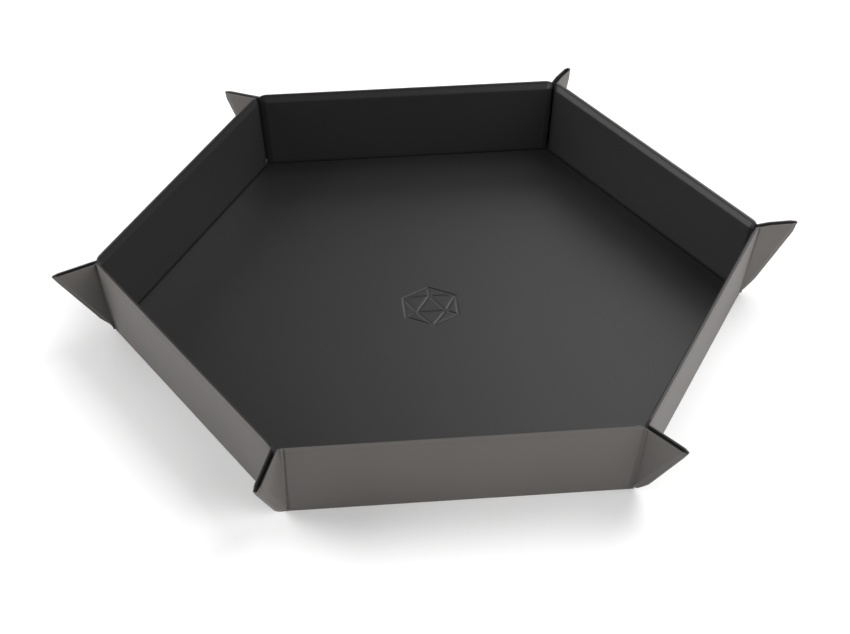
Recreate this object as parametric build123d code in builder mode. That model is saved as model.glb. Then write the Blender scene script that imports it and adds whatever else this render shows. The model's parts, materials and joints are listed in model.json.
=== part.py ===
"""Folding hexagonal dice tray: a stiff floor and six walls in one soft laminate.

Grey skin outside, black lining inside, stiff boards between them. The walls hinge up on
creases round the floor. At each corner the spare cloth pinches outward into a flat
triangular ear, and a magnet in each half of the ear holds it shut.

Each panel is drawn in the flat pattern's own coordinates on its folded plane: local x
runs along the panel's crease side, local y runs away from the crease, and z = 0 is the
middle of the skin, where the cloth bends. Frame: +Z up, origin at the centre of the
floor's underside. Millimetres and degrees.
"""

from build123d import *
import math
import os

# Overall form, set up
base_radius = 130.0  # corner radius of the hexagon that the tray stands on
wall_height = 35.0
wall_lean = 7.3  # each wall leans outward from upright by this

# Layers of the laminate
skin_thickness = 0.5
board_thickness = 1.3
lining_thickness = 0.4
card_thickness = 0.6  # thinner stiffener in the ears, level with the magnets
crease_clearance = 0.15  # spare room beside a crease

# Walls
rim_lip = 3.0  # the board stops this far below the rim
rim_corner = 2.5
board_side_margin = 1.2
board_corner = 1.5
floor_corner = 3.0

# Ears, measured along and across the crease that joins them to their wall
ear_gap = 0.3  # between the two halves of a closed ear
ear_foot = 4.0
ear_top = 33.7
blunt_height = 4.0
blunt_depth = 0.5
diagonal_clearance = 0.65  # from a half's free edge to the fold between the halves
card_margin = 1.3
foot_inset_ratio = 2.5  # the card stops this many margins above its half's narrow foot
magnet_diameter = 8.0
magnet_height = 25.0
magnet_pocket = 0.1  # radial room round the magnet

# Mark pressed into the lining: a plain twenty-sided die
mark_radius = 12.5
mark_triangle = 6.9
mark_line = 0.8
mark_break = 2.6  # bare stretches at the two ends of each joining edge, together
mark_depth = 0.2

# Walls by the heading of their outward side, and corners by theirs with the sideways
# lean of the ear there, counter-clockwise from above: cloth never pinches quite evenly
wall_headings = {
    "back_right": 30,
    "back": 90,
    "back_left": 150,
    "front_left": 210,
    "front": 270,
    "front_right": 330,
}
ear_leans = {0: 16.0, 60: 0.5, 120: 20.5, 180: 12.0, 240: 7.5, 300: 16.5}
ear_sides = {"clockwise": 1, "counter": -1}  # which end of its wall an ear half is at

# Worked out from the above
half_side_angle = 30.0  # from a wall's heading to the corners at its ends
bend_height = skin_thickness / 2
wall_fold = 90 - wall_lean
apothem = base_radius * math.cos(math.radians(half_side_angle))
crease_distance = apothem - bend_height
wall_length = (wall_height - bend_height) / math.sin(math.radians(wall_fold))
splay_slope = math.tan(math.radians(half_side_angle)) * math.cos(math.radians(wall_fold))
splay = math.atan(splay_slope)  # the side creases open upward, so that the ears close
gusset_slope = math.tan(math.radians(half_side_angle) - splay)
ear_thickness = skin_thickness + card_thickness + lining_thickness
bend_to_mid_plane = ear_thickness + ear_gap / 2 - bend_height
axis_shift = bend_to_mid_plane / math.cos(math.radians(half_side_angle))
crease_half = crease_distance * math.tan(math.radians(half_side_angle))
side_crease = crease_half - axis_shift  # half a wall's width between its ear creases
fold_line_start = axis_shift * math.cos(splay)  # the diagonal fold, off the ear's crease
fold_line_stretch = math.hypot(1, gusset_slope)  # a distance from it, measured level

# Each layer's lower and upper face above the bend
skin_span = (-bend_height, bend_height)
board_span = (bend_height, bend_height + board_thickness)
lining_span = (board_span[1], board_span[1] + lining_thickness)
card_span = (bend_height, bend_height + card_thickness)
ear_lining_span = (card_span[1], card_span[1] + lining_thickness)


def setback(span):
    """How far a layer of the floor or a wall stops short of the crease between them."""
    return span[1] * math.tan(math.radians(wall_fold / 2)) + crease_clearance


def wall_plane(heading):
    """A wall's folded plane: origin mid crease, x clockwise along it, z to the inside."""
    outward = Vector(1, 0, 0).rotate(Axis.Z, heading)
    clockwise = outward.rotate(Axis.Z, -90)
    crease = Axis((0, 0, 0), tuple(clockwise))
    inside = Vector(0, 0, 1).rotate(crease, wall_fold)
    middle = outward * crease_distance + Vector(0, 0, bend_height)
    return Plane(origin=middle, x_dir=clockwise, z_dir=inside)


def ear_crease(heading, side):
    """The foot, the direction and the fold angle of the crease between wall and ear."""
    wall = wall_plane(heading)
    foot = wall.from_local_coords(Vector(side * side_crease, 0, 0))
    along = wall.x_dir * (side * math.sin(splay)) + wall.y_dir * math.cos(splay)
    off = wall.x_dir * (side * math.cos(splay)) - wall.y_dir * math.sin(splay)
    corner = heading - side * half_side_angle
    across = Vector(0, -side, 0).rotate(Axis.Z, corner)
    closed = math.degrees(math.atan2(across.dot(off), across.dot(wall.z_dir)))
    return foot, along, closed + side * ear_leans[corner % 360]


def ear_plane(heading, side):
    """An ear half's folded plane: y up its crease, and x off the wall, times side."""
    foot, along, fold = ear_crease(heading, side)
    wall = wall_plane(heading)
    crease = Axis((0, 0, 0), tuple(along))
    off = wall.x_dir * math.cos(splay) - wall.y_dir * (side * math.sin(splay))
    return Plane(
        origin=foot,
        x_dir=off.rotate(crease, side * fold),
        z_dir=wall.z_dir.rotate(crease, side * fold),
    )


def wall_outline(low, top, side_gap):
    """Corner points of a wall layer, which widens upward with its side creases."""
    half_low = side_crease + low * splay_slope - side_gap
    half_top = side_crease + top * splay_slope - side_gap
    return [(-half_low, low), (half_low, low), (half_top, top), (-half_top, top)]


def ear_outline(side, inset):
    """Corner points of an ear half, drawn in from its crease, fold and top by inset."""
    from_fold = diagonal_clearance + inset

    def fold_line(height):
        return fold_line_start + height * gusset_slope - from_fold * fold_line_stretch

    near = crease_clearance + bend_height + inset
    foot = ear_foot + inset * foot_inset_ratio
    top = ear_top - inset
    blunt = top - blunt_height
    points = [
        (near, foot),
        (fold_line(foot), foot),
        (fold_line(blunt), blunt),
        (fold_line(top) - blunt_depth, top),
        (near, top),
    ]
    return [(side * x, y) for x, y in points]


def save(piece, name):
    """Labels a finished piece and writes it."""
    piece.part.label = name
    export_step(piece.part, f"parts/{name}.step")


def make_floor():
    """The floor's three layers, flat hexagons with their corners along X."""
    layers = {"skin": skin_span, "board": board_span, "lining": lining_span}
    for layer, span in layers.items():
        inner_radius = crease_distance - setback(span)
        radius = inner_radius / math.cos(math.radians(half_side_angle))
        with BuildPart() as floor:
            with BuildSketch(Plane.XY.offset(bend_height + span[0])):
                RegularPolygon(radius=radius, side_count=6)
            extrude(amount=span[1] - span[0])
            if layer == "board":
                fillet(floor.edges().filter_by(Axis.Z), radius=floor_corner)
            if layer == "lining":
                with BuildSketch(Plane.XY.offset(bend_height + span[1])):
                    add(die_mark())
                extrude(amount=-mark_depth, mode=Mode.SUBTRACT)
        save(floor, f"floor_{layer}")


def die_mark():
    """The die's outline, its front triangle, and the edges that join the two."""
    corners = [Vector(mark_radius, 0).rotate(Axis.Z, 30 + 60 * k) for k in range(6)]
    front = [Vector(mark_triangle, 0).rotate(Axis.Z, 90 + 120 * k) for k in range(3)]
    with BuildSketch() as mark:
        RegularPolygon(mark_radius, 6, rotation=30)
        RegularPolygon(mark_radius - mark_line, 6, rotation=30, mode=Mode.SUBTRACT)
        RegularPolygon(mark_triangle, 3, rotation=90)
        RegularPolygon(mark_triangle - 2 * mark_line, 3, rotation=90, mode=Mode.SUBTRACT)
        for k in range(3):
            for neighbour in range(3):
                edge = corners[(2 * k + neighbour) % 6] - front[k]
                middle = front[k] + edge / 2
                heading = math.degrees(math.atan2(edge.Y, edge.X))
                with Locations(Location(middle, (0, 0, heading))):
                    Rectangle(edge.length - mark_break, mark_line)
    return mark.sketch


def make_walls():
    """Six walls of skin, board and lining."""
    bend_gap = crease_clearance + bend_height
    outlines = {
        "skin": (skin_span, wall_length, bend_gap, rim_corner),
        "board": (board_span, wall_length - rim_lip, board_side_margin, board_corner),
        "lining": (lining_span, wall_length, bend_gap, rim_corner),
    }
    for wall, heading in wall_headings.items():
        for layer, (span, top, side_gap, corner) in outlines.items():
            plane = wall_plane(heading)
            with BuildPart() as panel:
                with BuildSketch(plane.offset(span[0])) as outline:
                    with BuildLine():
                        Polyline(*wall_outline(setback(span), top, side_gap), close=True)
                    make_face()
                    fillet(outline.vertices().sort_by(Axis.Y)[-2:], radius=corner)
                extrude(amount=span[1] - span[0])
            save(panel, f"wall_{wall}_{layer}")


def make_ears():
    """Two halves of an ear on each wall: skin, lining, and a card that holds a magnet."""
    magnet_across = (fold_line_start + magnet_height * gusset_slope) / 2
    pocket_radius = magnet_diameter / 2 + magnet_pocket
    for wall, heading in wall_headings.items():
        for end, side in ear_sides.items():
            plane = ear_plane(heading, side)
            name = f"ear_{wall}_{end}"
            for layer, span in {"skin": skin_span, "lining": ear_lining_span}.items():
                with BuildPart() as sheet:
                    with BuildSketch(plane.offset(span[0])):
                        with BuildLine():
                            Polyline(*ear_outline(side, 0), close=True)
                        make_face()
                    extrude(amount=span[1] - span[0])
                save(sheet, f"{name}_{layer}")
            with BuildPart() as card:
                with BuildSketch(plane.offset(card_span[0])):
                    with BuildLine():
                        Polyline(*ear_outline(side, card_margin), close=True)
                    make_face()
                    with Locations((side * magnet_across, magnet_height)):
                        Circle(pocket_radius, mode=Mode.SUBTRACT)
                        Circle(magnet_diameter / 2)
                extrude(amount=card_thickness)
            save(card, f"{name}_magnet_card")


os.makedirs("parts", exist_ok=True)
make_floor()
make_walls()
make_ears()
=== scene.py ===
"""Looks of the folding dice tray: the cloth, its creases, ears and rims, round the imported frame.

A wall's flat coordinates are x clockwise along its crease, y away from it and z to the inside.
An ear half's are a off its crease, e along the crease and z to the inside. z = 0 is the bend.
"""

import json
import math

import bmesh
import bpy
import numpy as np
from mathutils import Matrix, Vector


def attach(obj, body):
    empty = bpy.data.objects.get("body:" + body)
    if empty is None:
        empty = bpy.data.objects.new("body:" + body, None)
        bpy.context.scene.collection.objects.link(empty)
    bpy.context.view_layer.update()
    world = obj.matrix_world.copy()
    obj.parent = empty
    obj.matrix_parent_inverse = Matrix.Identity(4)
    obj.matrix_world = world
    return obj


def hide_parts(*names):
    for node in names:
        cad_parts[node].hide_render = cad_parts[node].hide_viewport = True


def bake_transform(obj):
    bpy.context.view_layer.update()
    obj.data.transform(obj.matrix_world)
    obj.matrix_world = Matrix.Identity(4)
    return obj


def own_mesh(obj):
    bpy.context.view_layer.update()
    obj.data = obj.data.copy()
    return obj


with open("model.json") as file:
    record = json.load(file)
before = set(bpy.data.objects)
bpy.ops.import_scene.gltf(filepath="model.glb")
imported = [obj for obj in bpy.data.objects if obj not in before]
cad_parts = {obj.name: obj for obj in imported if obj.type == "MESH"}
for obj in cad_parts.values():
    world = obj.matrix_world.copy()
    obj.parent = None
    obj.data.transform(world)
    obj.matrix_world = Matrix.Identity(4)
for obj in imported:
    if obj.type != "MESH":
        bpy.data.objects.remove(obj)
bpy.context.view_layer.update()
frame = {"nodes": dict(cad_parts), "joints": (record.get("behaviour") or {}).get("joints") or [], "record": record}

MM = 0.001
RECORD = frame["record"]
JOINTS = {joint["name"]: joint for joint in frame["joints"]}
RATIOS = {c["joint"]: c["ratio"] for c in RECORD["behaviour"]["couplings"]}
WALLS = ["back_right", "back", "back_left", "front_left", "front", "front_right"]
SIDES = {"clockwise": 1, "counter": -1}
LEAD = "wall_front_fold"
EAR_RATIOS = [ratio for name, ratio in RATIOS.items() if name.startswith("ear")]
STRAIGHT_EAR = math.radians(JOINTS[LEAD]["range_deg"][1]) * sum(EAR_RATIOS) / len(EAR_RATIOS)

# Layers, in mm above the bend
SKIN = 0.5
LINING = 0.4
SKIN_FACE = -SKIN / 2
WALL_FACE = 1.95  # the lining's face over a board
EAR_FACE = 1.18  # the lining's face over an ear's card
BOARD_EDGE = 31.6  # how far up the panels the boards and cards reach

# The lip, where the skin and the lining meet above the board
LIP_START = BOARD_EDGE + 0.35
PRESSED_EDGE = 33.3  # above this the skin lies in its lip
LIP_FACE = 0.95  # the lining's face at a wall's rim
EAR_LIP_FACE = 0.5  # and at an ear's, where the halves stand apart
LIP_BACK = 0.3
LIP_SKIN_FACE = -0.08
LIP_SKIN_BACK = 0.27
CUT_EDGE = 0.7  # how much of a sheet's thickness is left at its softened cut edge

# A wall, up from its floor crease
WALL_LENGTH = 35.06
RIM_DIP = 0.45  # the rim dips by this towards an ear
RIM_DIP_REACH = 2.8
CORNER_BEND = 0.5  # half the width over which the skin bends at the floor crease
FLOOR_SKIN_LAP = 1.0  # how far from the crease the floor's skin hands over to the walls'
CORNER_GAP = 0.12  # from the lining to the plane between two walls

# The strip of lining at the bottom of the floor's groove
GROOVE_FACE = 0.62
GROOVE_BACK = 0.32
GROOVE_HALF_WIDTH = 0.9
GROOVE_END = 1.2  # how far it stops short of the corner

# An ear half, off its crease and up it
EAR_TOP_AT_CREASE = 34.3
EAR_TOP_AT_TIP = 33.7
TIP_REACH = 16.5
EAR_FOOT = {"skin": 0.9, "lining": 1.9}  # where its sheets start up the crease
SKIN_BEND = 0.9  # half the width over which the skin bends at an ear's crease
LINING_BEND = 2.4
SEAM = 2.6  # where an ear's sheets meet its wall's, beside the crease
CARD_STEP = (-2.2, 0.4)  # the lining steps from board to card between these
VALLEY_DEPTH = 0.4  # the skin is drawn in along a valley beside the crease
VALLEY_WIDTH = 0.38

# The diagonal fold between an ear's halves
MID_PLANE = 1.40  # from a half's bend to the plane between the halves
GUSSET_SLOPE = math.tan(math.radians(25.8))
FOLD_TAPER = 2.1  # the halves draw together over this much beside their fold
FOLD_PINCH = 0.45
FOLD_CURL = 0.9  # and curl over within this much of it
FOLD_START_LEAST = 1.2  # the taper starts at least this far off the ear's crease
FOLD_FOOT = 2.2  # how far up the crease the fold starts
KNEE_FOOT = 1.5  # below this the fold is drawn in by all of the knee's depth
KNEE_HEIGHT = 7.2  # and above this by none
KNEE_DEPTH = 1.7
LEAST_GIVE = -0.9  # the furthest the fold is drawn in behind its crease
TIP_HEIGHT = 4.0  # how much of the fold's top the blunt tip takes up
OPEN_LOW = 0.5  # the height over the bend of a clockwise half's fold for the open tray; the points found from it are not used
OPEN_HIGH = 1.5  # and of a counter half's fold, above it

# The give of the cloth at each ear, by the wall at whose clockwise end it is: how far the fold
# stands out beyond its crease at the foot and at the tip, how blunt the tip is, and its rise
GIVE = {
    "back_right": (1.1, 1.8, 1.0, 0.6),
    "back": (1.0, 1.8, 1.0, 0.8),
    "back_left": (1.4, 1.8, 0.9, 0.0),
    "front_left": (0.0, 0.6, 0.1, 0.0),
    "front": (1.7, 2.0, 0.3, 0.0),
    "front_right": (1.9, 0.6, 0.2, 0.0),
}

# Where the skin's valley runs off an ear's crease, at the foot and at the rim; 0 where not named
VALLEY = {
    "front_counter": (1.9, 1.5),
    "front_clockwise": (0.2, -2.1),
    "front_left_clockwise": (-1.8, 0.0),
    "front_right_counter": (-0.6, 0.4),
}

# The tuck of skin under each ear: its middle beyond the corner, half depth and half width
TUCK_HEIGHT = 3.6
TUCK_AT_FLOOR = (-0.55, 0.55, 0.5)
TUCK_AT_TOP = (0.5, 1.2, 1.3)
TUCK_BASE = 0.03

# The mark pressed into the floor: a plain outline of a twenty-sided die
MARK_RADIUS = 12.5
MARK_TRIANGLE = 6.9
MARK_GAP = 1.3
MARK_HALF_WIDTH = 0.55
MARK_DEPTH = 0.3

# The stage, in metres
CAMERA_PLACE = Vector((-0.0599, -0.6247, 0.5022))
CAMERA_AIM = Vector((-0.0028, -0.0042, 0))
CAMERA_LENS = 82.24
TABLE_TOP = -0.0001  # just under the skin
LIGHT_AIM = Vector((0, 0, 0.01))
LIGHT_DISTANCE = 1.6
LIGHT_SIZE = 1.1

# Soft boxes: heading and elevation in degrees, and power in watts
SOFT_BOXES = {
    "key": (33, 50, 16.5),
    "rim": (60, 25, 9.2),
    "back_left_fill": (135, 25, 8.4),
    "left_fill": (180, 25, 20.8),
    "front_right_fill": (315, 25, 22.0),
}

COLOR_DRIFT = 0.06  # how much lighter or darker than its colour a cloth is in places


def smooth(t):
    """Eases from 0 to 1 as t does."""
    t = np.clip(t, 0, 1)
    return t * t * (3 - 2 * t)


def steps(*stops):
    """Values that run through the stops: value, count, value, count, value..."""
    values = [stops[0]]
    for count, stop in zip(stops[1::2], stops[2::2]):
        values.extend(np.linspace(values[-1], stop, count + 1)[1:])
    return np.array(values)


# ---------------------------------------------------------------- folding


class Wall:
    """A wall's crease with the floor, and how its flat pattern folds up round it."""

    def __init__(self, name):
        joint = JOINTS[f"wall_{name}_fold"]
        self.name = name
        self.body = f"wall_{name}"
        self.origin = np.array(joint["pos_m"]) / MM
        self.along = -np.array(joint["axis"])
        self.out = np.cross([0, 0, 1], self.along)
        self.fold_angle = math.radians(joint["range_deg"][1])
        self.apothem = np.linalg.norm(self.origin[:2])
        self.ears = {side: Ear(self, end) for end, side in SIDES.items()}

    def corner_x(self, y, z):
        """Half the wall's width at the plane it shares with its neighbours, when it is folded."""
        reach = y * math.cos(self.fold_angle) - z * math.sin(self.fold_angle)
        return (self.apothem + reach) * math.tan(math.radians(30))

    def fold(self, points, weight=1.0):
        """From the wall's flat coordinates to the tray's, folded up by a share of its angle."""
        x, y, z = points.T
        turn = self.fold_angle * weight
        reach = y * np.cos(turn) - z * np.sin(turn)
        height = y * np.sin(turn) + z * np.cos(turn)
        up = np.array([0, 0, 1])
        spread = np.outer(x, self.along) + np.outer(reach, self.out) + np.outer(height, up)
        return self.origin + spread

    def flat_direction(self, direction):
        """A folded direction, in the wall's flat coordinates."""
        cos, sin = math.cos(self.fold_angle), math.sin(self.fold_angle)
        up = np.array([0, 0, 1])
        axes = [self.along, self.out * cos + up * sin, up * cos - self.out * sin]
        return np.array([direction @ axis for axis in axes])


class Ear:
    """Half an ear: its crease with a wall, and how it folds out round it."""

    def __init__(self, wall, end):
        joint = JOINTS[f"ear_{wall.name}_{end}_fold"]
        self.wall = wall
        self.name = f"{wall.name}_{end}"
        self.body = f"ear_{wall.name}_{end}"
        self.joint = joint["name"]
        self.side = SIDES[end]
        self.foot = wall.flat_direction(np.array(joint["pos_m"]) / MM - wall.origin)
        self.along = wall.flat_direction(-self.side * np.array(joint["axis"]))
        self.off = self.side * np.cross(self.along, [0, 0, 1])
        self.fold_angle = wall.fold_angle * RATIOS[self.joint]
        self.lean = self.side * (self.fold_angle - STRAIGHT_EAR)
        corner = WALLS.index(wall.name) + (0 if end == "clockwise" else 1)
        self.valley_foot, self.valley_top = VALLEY.get(self.name, (0.0, 0.0))
        self.give_foot, self.give_tip, self.blunt, self.rise = GIVE[WALLS[corner % len(WALLS)]]

    def flat(self, points):
        """From the ear's flat coordinates to the wall's, unfolded."""
        a, e, z = points.T
        up = np.array([0, 0, 1])
        return self.foot + np.outer(a, self.off) + np.outer(e, self.along) + np.outer(z, up)

    def fold(self, points, weight=1.0):
        """From the ear's flat coordinates to the tray's, folded out by a share of its angle."""
        a, e, z = points.T
        turn = self.fold_angle * weight
        off = a * np.cos(turn) + z * np.sin(turn)
        rise = z * np.cos(turn) - a * np.sin(turn)
        return self.wall.fold(self.flat(np.column_stack([off, e, rise])))


def crease_ends(panel, reach):
    """The two points between which cloth bends across a panel's crease."""
    if isinstance(panel, Ear):
        near, far = [-reach, 0, 0], [reach, 0, 0]
    else:
        near, far = [0, -reach, 0], [0, reach, 0]
    start = panel.fold(np.array([near]), 0.0)[0]
    end = panel.fold(np.array([far]), 1.0)[0]
    return start, end


def settle(panel, points, reach):
    start, end = crease_ends(panel, reach)
    across = end - start
    position = points[:, 0] if isinstance(panel, Ear) else points[:, 1]
    weight = smooth((position + reach) / (2 * reach))
    for _ in range(80):
        folded = panel.fold(points, weight)
        share = (folded - start) @ across / (across @ across)
        weight = 0.6 * weight + 0.4 * smooth(share)
    return panel.fold(points, weight)


# ---------------------------------------------------------------- meshes


def shell(name, face, back, material):
    """A closed sheet between two grids of points (rows, columns, 3), in mm."""
    rows, columns = face.shape[:2]
    count = rows * columns
    points = np.concatenate([face.reshape(-1, 3), back.reshape(-1, 3)]) * MM
    faces = []
    for r in range(rows - 1):
        for c in range(columns - 1):
            i = r * columns + c
            quad = (i, i + 1, i + columns + 1, i + columns)
            faces.append(quad)
            faces.append(tuple(v + count for v in reversed(quad)))
    ring = list(range(columns))
    ring += [r * columns + columns - 1 for r in range(1, rows)]
    ring += [(rows - 1) * columns + c for c in range(columns - 2, -1, -1)]
    ring += [r * columns for r in range(rows - 2, 0, -1)]
    for here, after in zip(ring, ring[1:] + ring[:1]):
        faces.append((after, here, here + count, after + count))
    return make_object(name, points, faces, material)


def make_object(name, points, faces, material):
    """A closed mesh, smooth but for its cut edges, with points in metres."""
    mesh = bpy.data.meshes.new(name)
    mesh.from_pydata([tuple(p) for p in points], [], faces)
    mesh.materials.append(material)
    work = bmesh.new()
    work.from_mesh(mesh)
    bmesh.ops.remove_doubles(work, verts=work.verts, dist=1e-7)
    bmesh.ops.recalc_face_normals(work, faces=work.faces)
    work.to_mesh(mesh)
    work.free()
    mesh.polygons.foreach_set("use_smooth", [True] * len(mesh.polygons))
    mesh.set_sharp_from_angle(angle=math.radians(42))
    piece = bpy.data.objects.new(name, mesh)
    bpy.context.scene.collection.objects.link(piece)
    return piece


# ---------------------------------------------------------------- cloth heights


def lip_share(y):
    """0 over the board, 1 on the skin's lip above it."""
    return smooth((y - LIP_START) / (PRESSED_EDGE - LIP_START))


def bevel_share(y):
    """The lining's slope from the board's top edge to the rim."""
    return np.interp(y - BOARD_EDGE, [0, 0.25, 0.6, 2.6, 3.1, 3.4], [0, 0.03, 0.14, 0.9, 0.98, 1])


def under_rim(y, rim):
    """Rows above the board's edge are drawn together where the rim dips."""
    above = np.maximum(y - BOARD_EDGE, 0)
    return np.minimum(y, BOARD_EDGE) + above * (rim - BOARD_EDGE) / (WALL_LENGTH - BOARD_EDGE)


def rim_height(from_crease):
    """A wall's rim, by distance from its ear crease: it dips towards the ear."""
    return WALL_LENGTH - RIM_DIP * smooth(1 - from_crease / RIM_DIP_REACH)


def groove_height(y):
    """The wall lining's face near the floor crease, where it dives between the boards."""
    stops = [0.5, 0.95, 1.3, 1.4, 1.48, 1.6, 1.8, 2.1, 2.5, 3.0]
    return np.interp(y, stops, [0.55, 0.6, 0.8, 1.3, 1.57, 1.64, 1.74, 1.85, 1.925, 1.95])


def skin_sides(y):
    """The heights of the skin's two sides, y up a panel."""
    lip = lip_share(y)
    face = SKIN_FACE + (LIP_SKIN_FACE - SKIN_FACE) * lip
    return face, SKIN_FACE + SKIN + (LIP_SKIN_BACK - SKIN_FACE - SKIN) * lip


def lining_sides(full, y, lip=LIP_FACE):
    """The heights of the lining's two sides, where its face over the panel is full."""
    bevel = bevel_share(y)
    return full + (lip - full) * bevel, full - LINING + (LIP_BACK - full + LINING) * bevel


def wall_to_ear(a):
    """0 on the wall's side of an ear crease, 1 on the ear's."""
    near, far = CARD_STEP
    return smooth((a - near) / (far - near))


def crease_pinch(ear, a, e):
    """How far the skin is drawn in along the valley beside an ear crease."""
    valley = ear.valley_foot + (ear.valley_top - ear.valley_foot) * e / WALL_LENGTH
    return VALLEY_DEPTH * np.exp(-(((a - valley) / VALLEY_WIDTH) ** 2))


# ---------------------------------------------------------------- walls


def panel_rows(low):
    """Rows up a wall or an ear, close together at the board's edge and the lip."""
    lip = (PRESSED_EDGE + 0.2, 4, WALL_LENGTH - 0.12, 1, WALL_LENGTH)
    return steps(low, 10, 28, 4, BOARD_EDGE, 10, *lip)


def close_rim(face, back):
    """Draws the last row together, to soften the cut edge."""
    middle = (face[-1] + back[-1]) / 2
    face[-1] = middle + (face[-1] - middle) * CUT_EDGE
    back[-1] = middle + (back[-1] - middle) * CUT_EDGE


def crease_x(ear, y):
    """x of an ear's crease on its wall, y up the wall."""
    return ear.foot[0] + ear.along[0] / ear.along[1] * y


def to_corner(wall, x, y, height, foot, gap):
    """Below the ears, a wall's rows run on to the planes it shares with its neighbours."""
    half = np.abs(x[:, -1:])
    corner = wall.corner_x(np.maximum(y, 0), height) - gap
    return x / half * np.where(y <= foot, corner, half)


def wall_grid(wall, rows):
    """Points (x, y) of a wall between its ears' sheets, up to the dipping rim."""
    right, left = wall.ears[1], wall.ears[-1]
    shares = steps(0, 12, 0.06, 24, 0.94, 12, 1)
    y, share = np.meshgrid(rows, shares, indexing="ij")
    gap = SEAM / right.along[1]
    low, high = crease_x(left, y) + gap, crease_x(right, y) - gap
    x = low + (high - low) * share
    for _ in range(3):
        nearest = np.minimum(crease_x(right, y) - x, x - crease_x(left, y)) * right.along[1]
        y = under_rim(np.broadcast_to(rows[:, None], x.shape), rim_height(nearest))
        low, high = crease_x(left, y) + gap, crease_x(right, y) - gap
        x = low + (high - low) * share
    return x, y


def sheet_between(face, back, fold):
    """The two sides of a sheet, folded from its flat coordinates."""
    close_rim(face, back)
    return [fold(grid.reshape(-1, 3)).reshape(grid.shape) for grid in (face, back)]


def make_wall_lining(wall):
    """A wall's lining, from the floor's groove up over the board to the rim."""
    groove = [0.5, 0.95, 1.3, 1.4, 1.48, 1.6, 1.75]
    foot = EAR_FOOT["lining"]
    rows = np.concatenate([groove, steps(foot, 1, foot + 0.03, 5, 3.0), panel_rows(4.5)])
    x, y = wall_grid(wall, rows)
    face_height, back_height = lining_sides(groove_height(y), y)
    x = to_corner(wall, x, y, face_height, foot, CORNER_GAP)
    face = np.stack([x, y, face_height], axis=2)
    back = np.stack([x, y, back_height], axis=2)
    grids = sheet_between(face, back, wall.fold)
    piece = shell(f"wall_{wall.name}_lining_cloth", *grids, LINING_CLOTH)
    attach(piece, wall.body)
    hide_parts(f"wall_{wall.name}_lining")


def make_wall_skin(wall):
    """A wall's skin, from the floor's across the crease and up to the rim."""
    foot = EAR_FOOT["skin"]
    crease = steps(-FLOOR_SKIN_LAP, 3, -CORNER_BEND, 10, CORNER_BEND, 3, foot)
    rows = np.concatenate([crease, [foot + 0.03, 1.3, 2.0], panel_rows(3.5)])
    x, y = wall_grid(wall, rows)
    face_height, back_height = skin_sides(y)
    x = to_corner(wall, x, y, face_height, foot, 0.0)
    face = np.stack([x, y, face_height], axis=2)
    back = np.stack([x, y, back_height], axis=2)
    start, end = crease_ends(wall, CORNER_BEND)
    grids = sheet_between(face, back, lambda points: settle(wall, points, CORNER_BEND))
    piece = shell(f"wall_{wall.name}_skin_cloth", *grids, SKIN_CLOTH)
    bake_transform(piece)
    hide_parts(f"wall_{wall.name}_skin")
    make_tuck(wall)


def make_floor_crease(wall):
    """The strip of lining at the bottom of the groove round the floor."""
    reach = GROOVE_HALF_WIDTH
    rows = steps(-reach, 3, -0.5, 8, 0.5, 3, reach)
    y, share = np.meshgrid(rows, steps(-1, 12, 1), indexing="ij")
    x = share * (wall.corner_x(0, 0) - GROOVE_END)
    face = np.stack([x, y, np.full(x.shape, GROOVE_FACE)], axis=2)
    back = np.stack([x, y, np.full(x.shape, GROOVE_BACK)], axis=2)
    start, end = crease_ends(wall, reach)
    grids = sheet_between(face, back, lambda points: settle(wall, points, reach))
    piece = shell(f"crease_{wall.name}_lining_cloth", *grids, LINING_CLOTH)
    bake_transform(piece)
    return piece


# ---------------------------------------------------------------- ears


def ear_top(ear, a):
    """The top edge by distance off the crease: the wall's rim, then the ear's own edge."""
    on_wall = (rim_height(-a) - ear.foot[1] - ear.off[1] * a) / ear.along[1]
    out = a / TIP_REACH
    on_ear = EAR_TOP_AT_CREASE + (EAR_TOP_AT_TIP - EAR_TOP_AT_CREASE) * out
    on_ear += ear.rise * np.minimum(out * 3, 1)
    share = smooth((a + 1.0) / 2.0)
    return on_wall * (1 - share) + on_ear * share


def fold_crease(ear, e):
    """How far off its crease a half's diagonal fold is in the pattern, e up the crease."""
    start = MID_PLANE / math.cos(math.radians(30)) * ear.along[1]
    return start - ear.side * MID_PLANE * math.sin(ear.lean) + GUSSET_SLOPE * e


def fold_reach(ear, e):
    """How far out the fold really stands, with the give of the cloth."""
    give = ear.give_foot + (ear.give_tip - ear.give_foot) * e / EAR_TOP_AT_TIP
    knee = KNEE_DEPTH * np.clip((KNEE_HEIGHT - e) / (KNEE_HEIGHT - KNEE_FOOT), 0, 1) ** 1.2
    blunt = ear.blunt * smooth((e - (EAR_TOP_AT_TIP - TIP_HEIGHT)) / TIP_HEIGHT)
    return fold_crease(ear, e) + np.maximum(give - knee - blunt, LEAST_GIVE)


def fold_start(ear, e):
    """Where the flat part of a half ends."""
    return np.maximum(fold_crease(ear, e) - FOLD_TAPER, FOLD_START_LEAST)


def ear_grid(ear, rows, near, far, shares):
    """Points (a, e) of an ear half between two lines that run up it."""
    nominal, share = np.meshgrid(rows, shares, indexing="ij")
    e = nominal
    for _ in range(3):
        a = near(e) + (far(e) - near(e)) * share
        e = under_rim(nominal, ear_top(ear, a))
    return a, e


def ear_rows(foot):
    """Rows up an ear, from where its sheet starts."""
    return np.concatenate([steps(foot, 3, foot + 1.5), panel_rows(5)])


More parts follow.
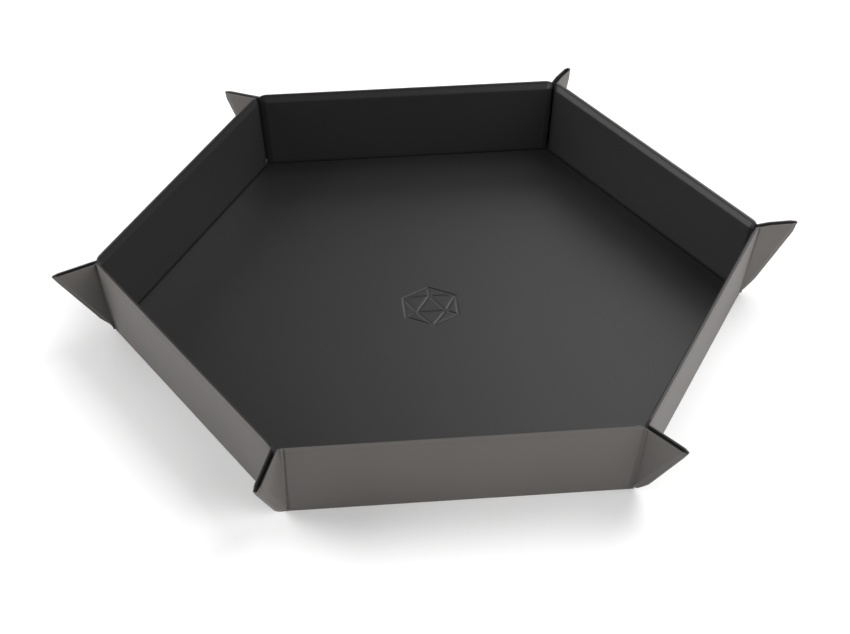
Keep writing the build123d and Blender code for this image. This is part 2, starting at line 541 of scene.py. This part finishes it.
def ear_sides(a, e, ear, layer):
    """Heights of the two sides of an ear half's sheet."""
    up_wall = e * ear.along[1] + ear.off[1] * np.minimum(a, 0)
    if layer == "lining":
        share = wall_to_ear(a)
        lip = LIP_FACE + (EAR_LIP_FACE - LIP_FACE) * share
        return lining_sides(WALL_FACE + (EAR_FACE - WALL_FACE) * share, up_wall, lip)
    face, back = skin_sides(up_wall)
    pinch = crease_pinch(ear, a, e)
    return face + pinch, back + 0.4 * pinch


def make_ear_sheet(ear, layer, reach, cloth_material):
    """A half's skin or lining, from its wall across the crease nearly to the fold."""
    a, e = ear_grid(ear, ear_rows(EAR_FOOT[layer]), lambda height: np.full(height.shape, -SEAM),
                    lambda height: fold_start(ear, height), steps(0, 30, 0.5, 8, 1))
    face_height, back_height = ear_sides(a, e, ear, layer)
    face = np.stack([a, e, face_height], axis=2)
    back = np.stack([a, e, back_height], axis=2)
    start, end = crease_ends(ear, reach)
    grids = sheet_between(face, back, lambda points: settle(ear, points, reach))
    piece = shell(f"ear_{ear.name}_{layer}_cloth", *grids, cloth_material)
    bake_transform(piece)
    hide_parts(f"ear_{ear.name}_{layer}")
    fold = make_ear_fold(ear, layer, cloth_material)


def fold_sides(ear, a, e, share, width, layer):
    """A sheet's two sides where it draws in to the plane between the halves, and its inset."""
    curl_start = 1 - FOLD_CURL / width
    turn = np.clip((share - curl_start) / (1 - curl_start), 0, 1)
    middle = MID_PLANE * math.cos(ear.lean)
    up_wall = e * ear.along[1]
    if layer == "skin":
        face, back = skin_sides(up_wall)
        pinch = FOLD_PINCH * smooth(share / curl_start)
        round_off = 1 - np.sqrt(1 - turn**2)
        face, back = face + pinch, back + pinch
        return face + (middle - face) * round_off, back + (middle - back) * round_off, 0.35 * turn
    face, back = lining_sides(EAR_FACE, up_wall, EAR_LIP_FACE)
    draw = smooth(share / 0.85)
    return face + (middle - face) * draw, back + (middle - 0.1 - back) * draw, 0.5 * turn


def make_ear_fold(ear, layer, cloth_material):
    """A half's skin or lining where it curls into the diagonal fold.

    It rides on its ear; nothing presses the halves' folds flat over each other when the tray lies open.
    """
    shares = steps(0, 6, 0.5, 14, 1)
    a, e = ear_grid(ear, ear_rows(FOLD_FOOT), lambda height: fold_start(ear, height),
                    lambda height: fold_reach(ear, height), shares)
    width = np.maximum(a[:, -1:] - a[:, :1], 2 * FOLD_CURL)
    share = np.broadcast_to(shares, a.shape)
    face_height, back_height, inset = fold_sides(ear, a, e, share, width, layer)
    face = np.stack([a - (0 if layer == "skin" else inset), e, face_height], axis=2)
    back = np.stack([a - inset, e, back_height], axis=2)
    grids = sheet_between(face, back, ear.fold)
    piece = shell(f"ear_{ear.name}_fold_{layer}", *grids, cloth_material)

    level = OPEN_LOW if ear.side > 0 else OPEN_HIGH
    anchor, above = ear.fold(np.array([[0, 0, level], [0, 0, level + 1]]))
    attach(piece, ear.body)
    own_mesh(piece)
    return piece


def make_tuck(wall):
    """The tuck of skin at the foot of the ear clockwise of a wall."""
    heading = math.atan2(wall.out[1], wall.out[0]) - math.radians(30)
    corner = wall.apothem / math.cos(math.radians(30))
    rings, around = 10, 28
    low, high = np.array(TUCK_AT_FLOOR), np.array(TUCK_AT_TOP)
    turns = np.arange(around) * 2 * math.pi / around
    points = []
    for height in np.linspace(0, 1, rings):
        middle, depth, width = low + (high - low) * math.sin(height * math.pi / 2)
        out = corner + middle + depth * np.cos(turns)
        across = width * np.sin(turns)
        x = out * math.cos(heading) - across * math.sin(heading)
        y = out * math.sin(heading) + across * math.cos(heading)
        points.append(np.column_stack([x, y, np.full(around, TUCK_BASE + height * TUCK_HEIGHT)]))
    faces = []
    for r in range(rings - 1):
        for k in range(around):
            here, after = r * around + k, r * around + (k + 1) % around
            faces.append((here, after, after + around, here + around))
    faces.append(tuple(range(around)))
    faces.append(tuple(range((rings - 1) * around, rings * around)))
    name = f"corner_{wall.name}_tuck"
    piece = make_object(name, np.concatenate(points) * MM, faces, SKIN_CLOTH)
    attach(piece, "floor")
    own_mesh(piece)
    return piece


# ---------------------------------------------------------------- floor


def hexagon(apothem, turn):
    """A point of a hexagon with a corner on +X, by the direction it lies in."""
    within = (turn % (math.pi / 3)) - math.pi / 6
    reach = apothem / math.cos(within)
    return reach * math.cos(turn), reach * math.sin(turn)


def mark_lines():
    """The pressed lines of a plain twenty-sided die."""
    def ring(radius, count, start):
        turns = [math.radians(start + 360 / count * k) for k in range(count)]
        return [np.array([radius * math.cos(t), radius * math.sin(t)]) for t in turns]

    corners, front = ring(MARK_RADIUS, 6, 30), ring(MARK_TRIANGLE, 3, 90)
    lines = list(zip(corners, corners[1:] + corners[:1]))
    lines += list(zip(front, front[1:] + front[:1]))
    for k, tip in enumerate(front):
        for neighbour in range(3):
            corner = corners[(2 * k + neighbour) % 6]
            inset = (corner - tip) / np.linalg.norm(corner - tip) * MARK_GAP
            lines.append((tip + inset, corner - inset))
    return lines


def mark_press(x, y):
    """How deep the mark is pressed at each point."""
    nearest = np.full(x.shape, 99.0)
    for start, end in mark_lines():
        span = end - start
        share = ((x - start[0]) * span[0] + (y - start[1]) * span[1]) / (span @ span)
        share = np.clip(share, 0, 1)
        away = np.hypot(x - start[0] - share * span[0], y - start[1] - share * span[1])
        nearest = np.minimum(nearest, away)
    return MARK_DEPTH * smooth(1.35 - nearest / MARK_HALF_WIDTH)


def make_floor_sheet(name, node, radii, face_of, thickness, around, material):
    """A hexagonal sheet made of rings, closed at its rim and its middle."""
    turns = np.arange(around) * 2 * math.pi / around
    bend = JOINTS[LEAD]["pos_m"][2] / MM
    rings = np.array([[hexagon(radius, turn) for turn in turns] for radius in radii])
    x, y = np.moveaxis(rings, 2, 0)
    height = face_of(np.broadcast_to(radii[:, None], x.shape), x, y)
    top = np.stack([x, y, height + bend], axis=2).reshape(-1, 3)
    low = np.stack([x, y, height - thickness + bend], axis=2).reshape(-1, 3)
    points = np.concatenate([top, low, [[0, 0, top[0, 2]]], [[0, 0, low[0, 2]]]]) * MM
    count, faces = len(top), []
    for k in range(around):
        after = (k + 1) % around
        for r in range(len(radii) - 1):
            i, j = r * around + k, r * around + after
            faces.append((i, i + around, j + around, j))
            faces.append((j + count, j + around + count, i + around + count, i + count))
        rim, rim_after = (len(radii) - 1) * around + k, (len(radii) - 1) * around + after
        faces.append((rim, rim + count, rim_after + count, rim_after))
        faces.append((2 * count, k, after))
        faces.append((2 * count + 1, after + count, k + count))
    piece = make_object(name, points, faces, material)
    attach(piece, "floor")
    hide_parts(node)


def make_floor(creases):
    """The floor's lining, with its groove and its mark, and the floor's skin."""
    crease = abs(JOINTS[LEAD]["pos_m"][1]) / MM

    def lining_face(radius, x, y):
        return groove_height(crease - radius) - mark_press(x, y)

    def skin_face(radius, x, y):
        return np.full(x.shape, SKIN_FACE + SKIN)

    edge = crease - np.array([3.0, 2.75, 2.5, 2.3, 2.1, 1.95, 1.8, 1.7, 1.6, 1.48, 1.4, 1.3, 0.95, 0.5])
    fine = np.arange(0.4, 14.2, 0.2)
    lining_radii = np.concatenate([fine, steps(16, 5, 60, 6, crease - 3.6), edge])
    make_floor_sheet("floor_lining_cloth", "floor_lining", lining_radii, lining_face, LINING,
                     420, LINING_CLOTH)
    skin_radii = np.concatenate([steps(20, 4, crease - 2), [crease - FLOOR_SKIN_LAP]])
    make_floor_sheet("floor_skin_cloth", "floor_skin", skin_radii, skin_face, SKIN,
                     120, SKIN_CLOTH)


# ---------------------------------------------------------------- materials


def cloth(name, color, roughness, grain, bump, sheen=0.0):
    """A fine soft cloth: grain, slow colour drift and a little sheen."""
    material = bpy.data.materials.new(name)
    material.use_nodes = True
    nodes, links = material.node_tree.nodes, material.node_tree.links
    shader = nodes["Principled BSDF"]
    shader.inputs["Roughness"].default_value = roughness
    shader.inputs["Sheen Weight"].default_value = sheen
    shader.inputs["Sheen Roughness"].default_value = 0.45
    shader.inputs["Specular IOR Level"].default_value = 0.35
    place = nodes.new("ShaderNodeTexCoord")
    fine = nodes.new("ShaderNodeTexNoise")
    fine.inputs["Scale"].default_value = grain
    fine.inputs["Detail"].default_value = 4
    fine.inputs["Roughness"].default_value = 0.6
    slow = nodes.new("ShaderNodeTexNoise")
    slow.inputs["Scale"].default_value = 18
    slow.inputs["Detail"].default_value = 2
    ramp = nodes.new("ShaderNodeValToRGB")
    dark = [c * (1 - COLOR_DRIFT) for c in color] + [1]
    light = [c * (1 + COLOR_DRIFT) for c in color] + [1]
    ramp.color_ramp.elements[0].color = dark
    ramp.color_ramp.elements[1].color = light
    ramp.color_ramp.elements[0].position = 0.35
    ramp.color_ramp.elements[1].position = 0.65
    mix = nodes.new("ShaderNodeMix")
    mix.data_type = "FLOAT"
    mix.inputs[0].default_value = 0.55
    height = nodes.new("ShaderNodeBump")
    height.inputs["Strength"].default_value = bump
    height.inputs["Distance"].default_value = 0.00012
    for noise in (fine, slow):
        links.new(place.outputs["Object"], noise.inputs["Vector"])
    links.new(fine.outputs["Fac"], mix.inputs[2])
    links.new(slow.outputs["Fac"], mix.inputs[3])
    links.new(mix.outputs[0], ramp.inputs["Fac"])
    links.new(ramp.outputs["Color"], shader.inputs["Base Color"])
    links.new(fine.outputs["Fac"], height.inputs["Height"])
    links.new(height.outputs["Normal"], shader.inputs["Normal"])
    return material


SKIN_CLOTH = cloth("skin microfibre", (0.092, 0.0845, 0.0795), 0.62, 2600, 0.35, sheen=0.08)
LINING_CLOTH = cloth("lining microfibre", (0.0158, 0.0148, 0.0155), 0.44, 3000, 0.25, sheen=0.03)
BOARD = cloth("greyboard", (0.30, 0.27, 0.23), 0.85, 1500, 0.4)


def dress_frame():
    """The boards and cards inside the cloth keep their CAD shapes."""
    for name, node in frame["nodes"].items():
        if name.endswith("board") or name.endswith("magnet_card"):
            node.data.materials.clear()
            node.data.materials.append(BOARD)


# ---------------------------------------------------------------- stage


def make_camera():
    """The photograph's own viewpoint."""
    camera = bpy.data.objects.new("camera", bpy.data.cameras.new("camera"))
    bpy.context.scene.collection.objects.link(camera)
    camera.data.sensor_width = 36
    camera.data.lens = CAMERA_LENS
    camera.data.clip_start, camera.data.clip_end = 0.01, 10
    camera.location = CAMERA_PLACE
    camera.rotation_euler = (CAMERA_AIM - CAMERA_PLACE).to_track_quat("-Z", "Y").to_euler()
    bpy.context.scene.camera = camera


def add_soft_box(name, heading, elevation, power):
    """A square light that faces the tray from a heading and an elevation in degrees."""
    data = bpy.data.lights.new(name, "AREA")
    data.shape = "RECTANGLE"
    data.size, data.size_y = LIGHT_SIZE, LIGHT_SIZE
    data.energy = power
    light = bpy.data.objects.new(name, data)
    bpy.context.scene.collection.objects.link(light)
    h, e = math.radians(heading), math.radians(elevation)
    away = Vector((math.cos(h) * math.cos(e), math.sin(h) * math.cos(e), math.sin(e)))
    light.location = LIGHT_AIM + away * LIGHT_DISTANCE
    light.rotation_euler = (-away).to_track_quat("-Z", "Y").to_euler()


def make_stage():
    """A pale table top that runs out of the picture."""
    mesh = bpy.data.meshes.new("table_top")
    half = 3.0
    corners = [(-half, -half), (half, -half), (half, half), (-half, half)]
    mesh.from_pydata([(x, y, TABLE_TOP) for x, y in corners], [], [(0, 1, 2, 3)])
    table = bpy.data.objects.new("table_top", mesh)
    bpy.context.scene.collection.objects.link(table)
    material = bpy.data.materials.new("pale table")
    material.use_nodes = True
    shader = material.node_tree.nodes["Principled BSDF"]
    shader.inputs["Base Color"].default_value = (0.93, 0.93, 0.93, 1)
    shader.inputs["Roughness"].default_value = 0.9
    shader.inputs["Emission Color"].default_value = (1, 1, 1, 1)
    shader.inputs["Emission Strength"].default_value = 0.1
    mesh.materials.append(material)


def make_lights():
    """Soft boxes round the tray, and a little light from everywhere."""
    world = bpy.data.worlds.new("studio")
    bpy.context.scene.world = world
    world.use_nodes = True
    world.node_tree.nodes["Background"].inputs["Color"].default_value = (1, 1, 1, 1)
    world.node_tree.nodes["Background"].inputs["Strength"].default_value = 0.02
    for name, (heading, elevation, power) in SOFT_BOXES.items():
        add_soft_box(name, heading, elevation, power)


walls = [Wall(name) for name in WALLS]
for wall in walls:
    make_wall_skin(wall)
    make_wall_lining(wall)
    for ear in wall.ears.values():
        make_ear_sheet(ear, "skin", SKIN_BEND, SKIN_CLOTH)
        make_ear_sheet(ear, "lining", LINING_BEND, LINING_CLOTH)
make_floor([make_floor_crease(wall) for wall in walls])
dress_frame()
make_stage()
make_lights()
make_camera()
bpy.context.scene.view_settings.view_transform = "Standard"
